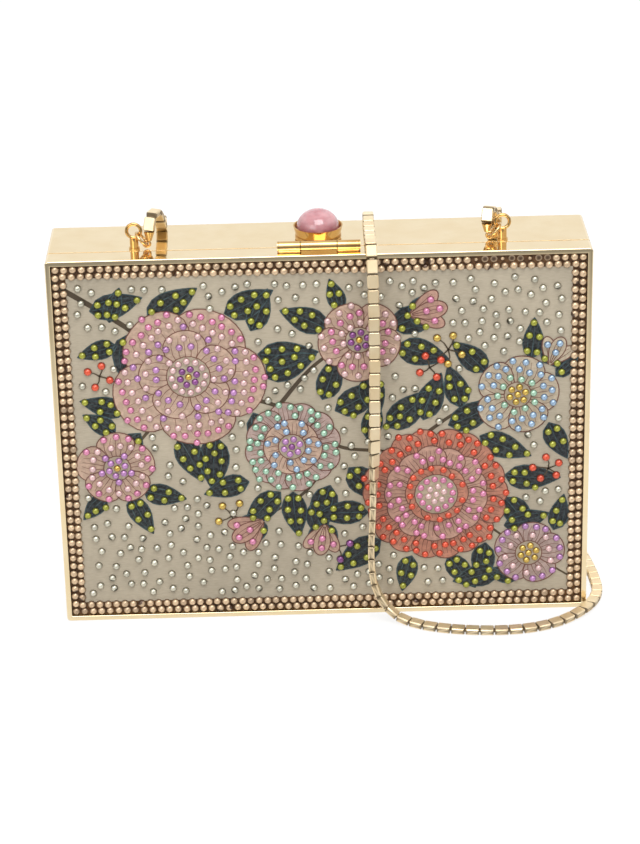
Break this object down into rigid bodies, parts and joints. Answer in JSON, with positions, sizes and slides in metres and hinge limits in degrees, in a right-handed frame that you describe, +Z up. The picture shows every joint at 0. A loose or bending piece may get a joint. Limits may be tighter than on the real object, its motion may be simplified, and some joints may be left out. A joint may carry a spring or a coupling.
{
  "type": "minaudiere",
  "caption": "Hinged metal-framed evening box bag with a studded covered front, a lift-up stone clasp on the top edge and a slim shoulder chain hung from two posts.",
  "frame": {"origin": "centre of the closed case's footprint, on the surface that it stands on", "axes": "+X along the case's width to the right of someone facing the studded front, +Y from the front to the back, +Z up from the hinge edge to the clasp edge"},
  "size_m": [0.1792, 0.0981, 0.1395],
  "materials": {
    "frame_metal": "polished pale champagne gold plating",
    "fittings_metal": "polished yellow gold plating",
    "spring_steel": "bright spring steel",
    "covered_board": "greige satin over stiff board, set with domed metal studs",
    "lining": "soft metallic gold leather",
    "stone": "polished translucent pink cabochon",
    "chain_metal": "polished pale gold links"
  },
  "bodies": {
    "rear_half": {"rear_frame": "frame_metal", "rear_panel": "covered_board", "rear_lining": "lining", "closing_lip": "frame_metal", "rear_hinge_leaf": "fittings_metal", "hinge_pin": "fittings_metal", "catch_spring": "spring_steel", "catch_rivets": "fittings_metal", "left_post": "fittings_metal", "right_post": "fittings_metal", "left_nut": "fittings_metal", "right_nut": "fittings_metal", "chain_left_run": "chain_metal", "chain_drape": "chain_metal", "chain_right_run": "chain_metal", "left_end_ring": "chain_metal", "right_end_ring": "chain_metal", "left_chain_end": "chain_metal", "right_chain_end": "chain_metal"},
    "lid": {"lid_frame": "frame_metal", "front_panel": "covered_board", "lid_lining": "lining", "lid_hinge_leaf": "fittings_metal", "clasp_left_knuckle": "fittings_metal", "clasp_right_knuckle": "fittings_metal", "clasp_pin": "fittings_metal"},
    "clasp": {"clasp_lever": "fittings_metal", "stone_setting": "fittings_metal", "cabochon": "stone"}
  },
  "joints": [
    {"name": "lid_hinge", "type": "hinge", "parent": "rear_half", "child": "lid", "pos_m": [0, -0.008, 0.0016], "axis": [1, 0, 0], "range_deg": [0, 95], "deforming": ["chain_drape", "catch_spring"]},
    {"name": "clasp_lift", "type": "hinge", "parent": "lid", "child": "clasp", "pos_m": [0, -0.012, 0.12675], "axis": [1, 0, 0], "range_deg": [0, 45]}
  ]
}
